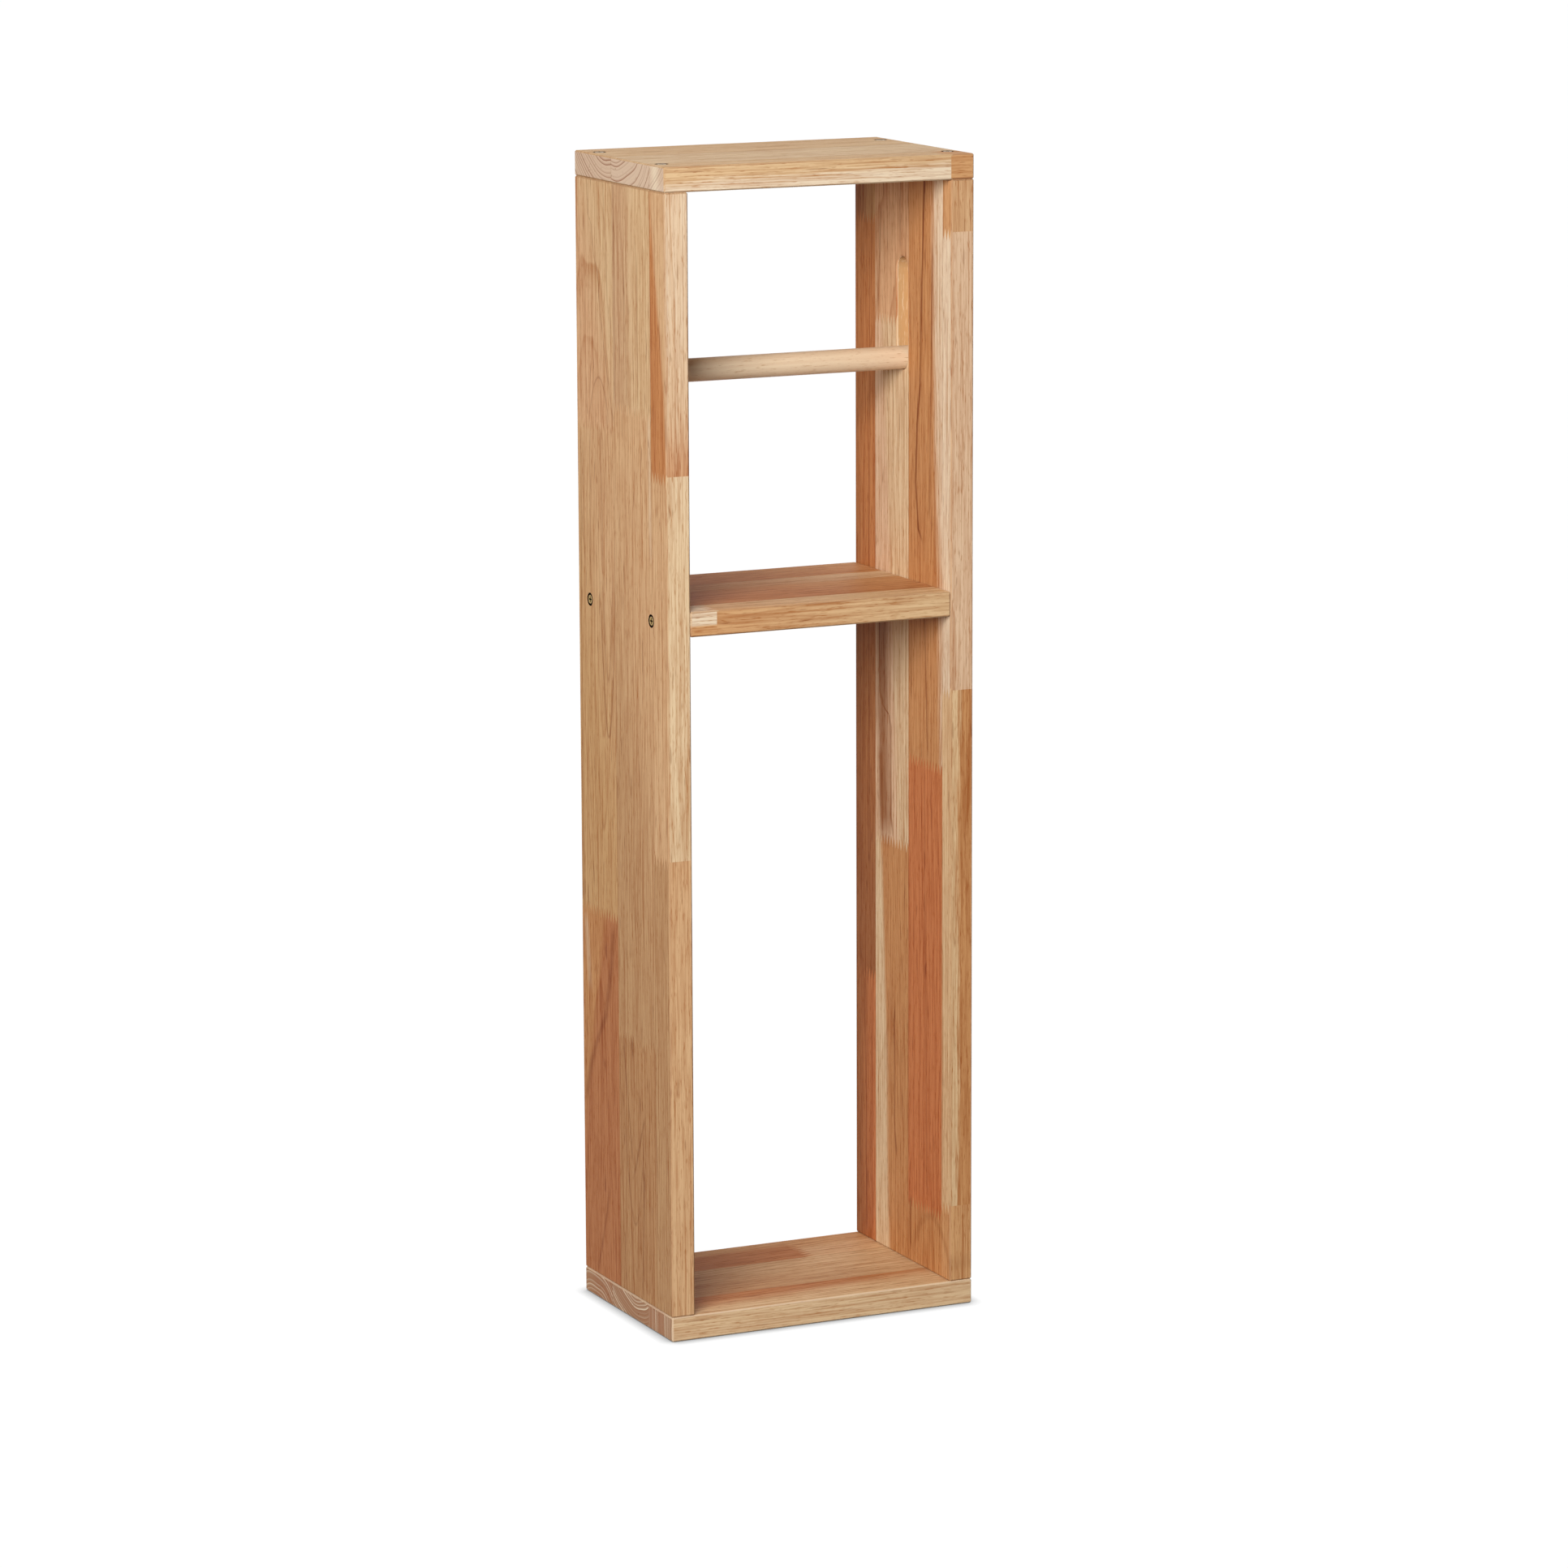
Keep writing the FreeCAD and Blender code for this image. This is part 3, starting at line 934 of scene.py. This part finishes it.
LEFT_PANEL = Board(
    "left_side_panel", Grain.UPRIGHT,
    rows=(
        Row(-65, -43.5, (
            Stave(290, Tone.HONEY, Tone.DRAB, FACE_PARTING, FACE_BLEND, figure=Figure.QUARTER),
            Stave(518, Tone.SAPWOOD, Tone.HONEY, FACE_PARTING, FACE_BLEND, figure=Figure.PLAIN),
            Stave(685, Tone.HONEY, Tone.ORANGE, parting=-157, lean=0.168, blend=7, figure=Figure.RIFT))),
        Row(-43.5, 10.5, (
            Stave(173, Tone.GREY_BROWN, Tone.GREY_BROWN, figure=Figure.ARCHED),
            Stave(553, Tone.HONEY, Tone.DRAB, parting=-162, lean=0.4, blend=100, figure=Figure.PLAIN),
            Stave(685, Tone.STRAW, Tone.FAWN, parting=-12, figure=Figure.QUARTER))),
        Row(10.5, 65, (
            Stave(243, Tone.DEEP_RED, Tone.CINNAMON, parting=94, lean=-0.267, blend=12, figure=Figure.FLAT),
            Stave(538, Tone.HONEY, Tone.OLIVE_TAN, parting=-134, lean=0.4, blend=80, figure=Figure.ARCHED),
            Stave(685, Tone.STRAW, Tone.PINK_TAN, parting=-211, lean=0.4, blend=50, figure=Figure.FLAT)))),
    lines=(
        GrainLine(((540, 10), (580, 22), (610, 30), (630, 32), (640, 38), (658, 41), (664, 46), (690, 47)),
                  1.2, 0.35),
        GrainLine(((600, 17), (640, 20), (690, 24)), 1.4, 0.25),
        # The front face grows paler from 480 mm up.
        GrainLine(((480, -66), (1000, -66)), 3.0, -1.0, fade=140),
        GrainLine(((242, 61.5), (400, 61.5), (535, 60)), 1.4, 0.5),
        GrainLine(((460, 57), (535, 57)), 1.8, 0.3),
        GrainLine(((440, 47), (536, 46)), 1.6, 0.25),
        GrainLine(((455, 28), (540, 30)), 2.0, 0.25),
        GrainLine(((243, 55), (258, 55)), 1.2, 0.5, fade=3),
        GrainLine(((190, 53), (240, 59)), 5.0, -0.35),
        GrainLine(((120, 62), (145, 53), (160, 45), (180, 30), (215, 20), (240, 17)), 5.0, 0.45),
        GrainLine(((15, 46), (60, 30), (75, 27)), 2.5, 0.4),
        GrainLine(((555, 8.5), (690, 8.5)), 1.2, 0.5),
        GrainLine(((555, -9), (650, -5)), 1.6, 0.22),
        GrainLine(((555, -25), (648, -25)), 1.8, 0.25),
        GrainLine(((465, -42), (554, -40)), 4.0, -0.35),
        GrainLine(((397, -29), (421, -29)), 1.2, 0.6, fade=4),
        GrainLine(((446, -3), (463, -3)), 1.1, 0.5, fade=4),
        GrainLine(((320, -11), (336, -11)), 1.1, 0.5, fade=4),
        GrainLine(((95, -9), (165, 3), (174, 4)), 1.8, 0.42),
        GrainLine(((86, -9), (132, -28)), 2.2, 0.42),
        GrainLine(((160, -10), (177, -10)), 2.0, 0.5, fade=5),
        GrainLine(((15, -22), (100, -26)), 1.6, 0.5),
        GrainLine(((307, -46), (319, -46)), 1.0, 0.5, fade=4)),
    arches=(
        GrainArch(across=21.5, along=353, bend=0.75, length=115, width=1.6, strength=0.5),
        GrainArch(across=21.5, along=388, bend=1.1, length=80, width=2.6, strength=0.3),
        GrainArch(across=32, along=568, bend=-0.12, length=32, width=1.3, strength=0.4),
        GrainArch(across=-12, along=60, bend=0.3, length=90, width=1.6, strength=0.3)),
    groove=ROD_GROOVE)

RIGHT_PANEL = Board(
    "right_side_panel", Grain.UPRIGHT,
    rows=(
        Row(-65, -54, (
            Stave(60, Tone.TAN, Tone.TAN, figure=Figure.QUARTER),
            Stave(378, Tone.STRAW, Tone.CINNAMON, parting=-2, blend=4, through=1, figure=Figure.QUARTER),
            Stave(652, Tone.SHELL, Tone.CREAM, FACE_PARTING, FACE_BLEND, figure=Figure.QUARTER),
            Stave(685, Tone.HONEY, Tone.TAN, FACE_PARTING, FACE_BLEND, figure=Figure.RIFT))),
        Row(-54, -8.5, (
            Stave(53, Tone.CINNAMON, Tone.CINNAMON, figure=Figure.FLAT),
            Stave(330, Tone.RED, Tone.RED, figure=Figure.RIFT),
            Stave(685, Tone.CREAM, Tone.CINNAMON, parting=-64, lean=0.033, blend=12,
                  figure=Figure.QUARTER))),
        Row(-8.5, 37, (
            Stave(274, Tone.CINNAMON, Tone.SAPWOOD, parting=16, lean=0.046, blend=5, figure=Figure.FLAT),
            Stave(594, Tone.SAPWOOD, Tone.SHELL, parting=-17, lean=0.076, blend=7, figure=Figure.RIFT),
            Stave(685, Tone.PINK_TAN, Tone.PINK_TAN, figure=Figure.FLAT))),
        Row(37, 65, (
            Stave(185, Tone.RED, Tone.DARK_BROWN, parting=50, figure=Figure.RIFT),
            Stave(653, Tone.BROWN, Tone.DARK_BROWN, parting=-99, lean=0.4, blend=100,
                  figure=Figure.QUARTER),
            Stave(685, Tone.OLIVE_TAN, Tone.DARK_BROWN, parting=48, figure=Figure.RIFT)))),
    lines=(
        GrainLine(((463, -28), (472, -22), (500, -18), (535, -20), (560, -24), (620, -26), (690, -30)),
                  2.2, 0.9),
        GrainLine(((478, -36), (646, -41)), 1.6, 0.5),
        GrainLine(((332, -35), (425, -30)), 1.9, 0.5),
        GrainLine(((366, -12), (384, -12)), 1.3, 0.5, fade=5),
        GrainLine(((598, 33), (664, 29)), 1.6, 0.5),
        GrainLine(((594, 35), (630, 35)), 1.5, -0.5),
        GrainLine(((634, 3), (690, 3)), 1.3, 0.4),
        GrainLine(((276, 13), (290, 16), (345, 16), (352, 18), (357, 27), (365, 31), (425, 32)), 2.0, 0.6),
        GrainLine(((272, 28), (332, 31)), 5.0, 0.45),
        GrainLine(((268, 22), (350, 27), (442, 27)), 13.0, 0.9, fade=20),
        GrainLine(((74, 7), (100, 11), (174, 11)), 1.7, 0.55),
        GrainLine(((250, 46), (640, 45)), 2.0, 0.3),
        # A wide dark band that darkens the panel along its back edge.
        GrainLine(((180, 62), (640, 62)), 8.0, 0.2, fade=60),
        GrainLine(((15, 43), (184, 42)), 1.6, 0.4),
        GrainLine(((15, 50), (184, 52)), 2.0, 0.4),
        GrainLine(((140, -14), (160, -14)), 1.5, 0.55, fade=5),
        GrainLine(((58, -34), (328, -30)), 2.2, 0.22),
        GrainLine(((22, -12), (58, -12)), 1.2, 0.75, fade=5)),
    arches=(GrainArch(across=-40, along=50, bend=-0.04, length=40, width=4.0, strength=0.25),),
    groove=ROD_GROOVE)

TOP_BOARD = Board(
    "top_board", Grain.LEVEL,
    rows=(
        Row(-65, -44, (
            Stave(82.7, Tone.CREAM, Tone.STRAW, parting=-1, lean=0.03, blend=7, through=1,
                  figure=Figure.PLAIN),
            Stave(100, Tone.TAN, Tone.TAN, figure=Figure.QUARTER))),
        Row(-44, 11, (Stave(100, Tone.SAPWOOD, Tone.SAPWOOD, figure=Figure.HEART_BEHIND),)),
        Row(11, 65, (Stave(100, Tone.STRAW, Tone.STRAW, figure=Figure.HEART_BEFORE),))),
    lines=(GrainLine(((-101, -52), (-98.5, -52)), 9.0, -0.9, fade=0.5),))

SHELF = Board(
    "middle_shelf", Grain.LEVEL,
    rows=(
        Row(-65, -44, (
            Stave(-70.3, Tone.TAN, Tone.CREAM, parting=-1.5, blend=2, through=1, figure=Figure.PLAIN),
            # Painted shade: this stave darkens towards its left end, where the left panel shades it.
            Stave(85, Tone.TAN, Tone.STRAW, parting=-68, lean=-0.3, blend=60, figure=Figure.QUARTER))),
        Row(-44, 4, (
            Stave(85, Tone.BROWN, Tone.TAN, 0, SHADE_DRIFT_BLEND, SHADE_DRIFT_LEAN, figure=Figure.ARCHED),)),
        Row(4, 26, (
            Stave(85, Tone.CINNAMON, Tone.SAPWOOD, 30, SHADE_DRIFT_BLEND, SHADE_DRIFT_LEAN, figure=Figure.PLAIN),)),
        Row(26, 65, (
            Stave(85, Tone.BROWN, Tone.TAN, 60, SHADE_DRIFT_BLEND, SHADE_DRIFT_LEAN, figure=Figure.FLAT),))))

BOTTOM_BOARD = Board(
    "bottom_board", Grain.LEVEL,
    rows=(
        Row(-65, -30, (
            # Painted shade: this row darkens towards its left end, where the left panel shades it.
            Stave(100, Tone.STRAW, Tone.BROWN, parting=-45, lean=0.12, blend=24, figure=Figure.QUARTER),)),
        Row(-30, 24, (
            Stave(100, Tone.GREY_BROWN, Tone.STRAW, -3, SHADE_DRIFT_BLEND, SHADE_DRIFT_LEAN, figure=Figure.ARCHED),)),
        Row(24, 65, (
            Stave(34, Tone.BROWN, Tone.TAN, parting=52, blend=8, figure=Figure.FLAT),
            Stave(100, Tone.HONEY, Tone.TAN, parting=46, blend=15, figure=Figure.ARCHED)))),
    lines=(GrainLine(((-100, -66), (100, -66)), 3.0, -0.25, fade=1),),
    end_tone=Tone.UMBER, arc_tone=Tone.CREAM, edge_wear_and_highlight=0.5)


@dataclass
class Carcass:
    """The five glued-up boards of the stand."""

    wood: OiledHardwood = field(default_factory=OiledHardwood)
    boards: tuple[Board, ...] = (LEFT_PANEL, RIGHT_PANEL, TOP_BOARD, SHELF, BOTTOM_BOARD)

    def dress(self) -> None:
        """Dresses every board with its own staves."""
        for board in self.boards:
            self.wood.dress(board)
            log.info("%s: %d staves in %d rows", board.node, len(board.staves()), len(board.rows))


@dataclass
class RollRod:
    """The loose round bar that carries the roll."""

    node: str = "roll_rod"
    wood: SandedBeech = field(default_factory=SandedBeech)

    def dress(self) -> None:
        """Dresses the rod in its own wood."""
        self.wood.dress(self.node)
        log.info("%s: dressed", self.node)


@dataclass
class Screws:
    """The twelve screws that hold the boards together."""

    metal: PassivatedSteel = field(default_factory=PassivatedSteel)
    boards: tuple[str, ...] = ("top", "bottom", "shelf")
    sides: tuple[str, ...] = ("left", "right")
    ends: tuple[str, ...] = ("front", "back")

    def nodes(self) -> list[str]:
        """Lists the screws' node names."""
        return [f"{board}_screw_{side}_{end}" for board in self.boards for side in self.sides
                for end in self.ends]

    def dress(self) -> None:
        """Dresses all the screws in the same metal."""
        metal = self.metal.material()
        for node in self.nodes():
            dress_node(node, metal)
            log.info("%s: dressed", node)


@dataclass(frozen=True)
class Lamp:
    """A square soft lamp.

    Attributes:
        name: what the lamp is for.
        place: where it hangs, in metres.
        power: in watts.
        size: length of its sides in metres.
    """

    name: str
    place: Place
    power: float
    size: float


def looking(place: Place, aim: Place) -> Matrix:
    """Places a lamp or a camera and turns it to what it looks at.

    Args:
        place: where it is, in metres.
        aim: the point that it looks at.

    Returns:
        Its matrix in the world.
    """
    start = Vector(place)
    turn = (Vector(aim) - start).to_track_quat("-Z", "Y").to_matrix().to_4x4()
    return Matrix.Translation(start) @ turn


@dataclass
class Studio:
    """White floor, soft light and the camera at the photograph's angle. Places are in metres."""

    floor_size: float = 30.0
    floor_colour: str = "#8C8C8C"
    floor_glow: float = 1.09
    glow_share: float = 0.92
    contact_reach: float = 0.009

    sky_overhead: float = 6.7
    sky_around: float = 0.1
    sky_aside: float = 0.06
    overhead_range: Span = (0.95, 0.999)
    aside_range: Span = (0.3, 1.0)

    # The broad lamp lights what the camera sees. The two low ones light the sides that face away from it.
    lamps: tuple[Lamp, ...] = (
        Lamp("key_light", (-1.675, -1.86, 1.411), power=79.5, size=1.3),
        Lamp("back_light", (0.3, 2.6, 0.15), power=22.0, size=0.3),
        Lamp("right_light", (2.6, 0.5, 0.15), power=26.0, size=0.3))
    lamp_aim: Place = (0.0, 0.0, 0.4)

    camera_place: Place = (-1.5200, -3.2403, 1.0094)
    camera_aim: Place = (0.0054, 0.0, 0.3190)
    camera_roll: float = -0.213
    lens: float = 138.84

    def build(self) -> None:
        """Builds the floor, the light and the camera."""
        self.build_floor()
        self.build_sky()
        for lamp in self.lamps:
            self.hang_lamp(lamp)
        self.build_camera()
        bpy.context.scene.view_settings.view_transform = "Standard"

    def seen_directly(self, sheet: NodeSheet) -> Socket:
        """Tells rays that show the background, straight or in metal and glass, from rays that light."""
        rays = sheet.add("LightPath").node.outputs
        seen = sheet.add("Math.MAXIMUM", rays["Is Camera Ray"], rays["Is Glossy Ray"])
        return sheet.add("Math.MAXIMUM", seen, rays["Is Transmission Ray"])

    def build_floor(self) -> None:
        """Lays a floor that shows as white, with a tight shadow where the stand touches it."""
        mesh = bpy.data.meshes.new("floor")
        half = self.floor_size / 2
        corners = [(-half, -half, 0), (half, -half, 0), (half, half, 0), (-half, half, 0)]
        mesh.from_pydata(corners, [], [(0, 1, 2, 3)])
        floor = bpy.data.objects.new("floor", mesh)
        bpy.context.scene.collection.objects.link(floor)
        material = bpy.data.materials.new("matt_paper_floor")
        sheet = NodeSheet(material)
        # The tight shadow is painted: the white glow is dimmed by ambient occlusion near the stand.
        open_air = sheet.add("AmbientOcclusion", None, self.contact_reach, take="AO")
        glow = sheet.add("Math.MULTIPLY", open_air, self.floor_glow)
        share = sheet.add("Math.MULTIPLY", self.seen_directly(sheet), self.glow_share)
        paper = sheet.add("BsdfDiffuse", linear(self.floor_colour))
        light = sheet.add("Emission", WHITE, glow)
        sheet.add("OutputMaterial", sheet.add("MixShader", share, paper, light))
        mesh.materials.append(material)
        floor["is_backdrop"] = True

    def build_sky(self) -> None:
        """Lights the stand softly, most from overhead and least from the sides, and shows as plain white."""
        world = bpy.data.worlds.new("studio")
        bpy.context.scene.world = world
        sheet = NodeSheet(world)
        direction = sheet.add("SeparateXYZ", sheet.add("TexCoord", take="Generated")).node.outputs
        aside = sheet.add("Math.ABSOLUTE", direction["X"])
        around = sheet.add("MapRange", aside, *self.aside_range, self.sky_around, self.sky_aside,
                           interpolation_type="SMOOTHSTEP")
        glow = sheet.add("MapRange", direction["Z"], *self.overhead_range, around, self.sky_overhead,
                         interpolation_type="SMOOTHSTEP")
        strength = sheet.add("Mix", self.seen_directly(sheet), glow, 1.0, data_type="FLOAT")
        sheet.add("OutputWorld", sheet.add("Background", WHITE, strength))

    def hang_lamp(self, lamp: Lamp) -> None:
        """Hangs one lamp, aimed at the stand.

        Args:
            lamp: its place, power and size.
        """
        light = bpy.data.lights.new(lamp.name, "AREA")
        light.energy = lamp.power
        light.size = lamp.size
        holder = bpy.data.objects.new(lamp.name, light)
        holder.matrix_world = looking(lamp.place, self.lamp_aim)
        holder.visible_camera = False
        bpy.context.scene.collection.objects.link(holder)

    def build_camera(self) -> None:
        """Sets the camera where the photograph was taken from."""
        camera = bpy.data.cameras.new("camera")
        camera.lens = self.lens
        holder = bpy.data.objects.new("camera", camera)
        roll = Matrix.Rotation(math.radians(self.camera_roll), 4, "Z")
        holder.matrix_world = looking(self.camera_place, self.camera_aim) @ roll
        bpy.context.scene.collection.objects.link(holder)
        bpy.context.scene.camera = holder


def write_sizes() -> None:
    """Works out the corners of the boxes of the solids and of the dressed stand; nothing is written."""
    boxes = {"cad": CAD_BOX, "visual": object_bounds()}
    lists = {name: [list(corner) for corner in box] for name, box in boxes.items()}


def main() -> None:
    """Dresses the stand, sets up the studio and works out the sizes."""
    logging.basicConfig(level=logging.INFO, format="%(message)s")
    Carcass().dress()
    RollRod().dress()
    Screws().dress()
    Studio().build()
    write_sizes()


if __name__ == "__main__":
    main()
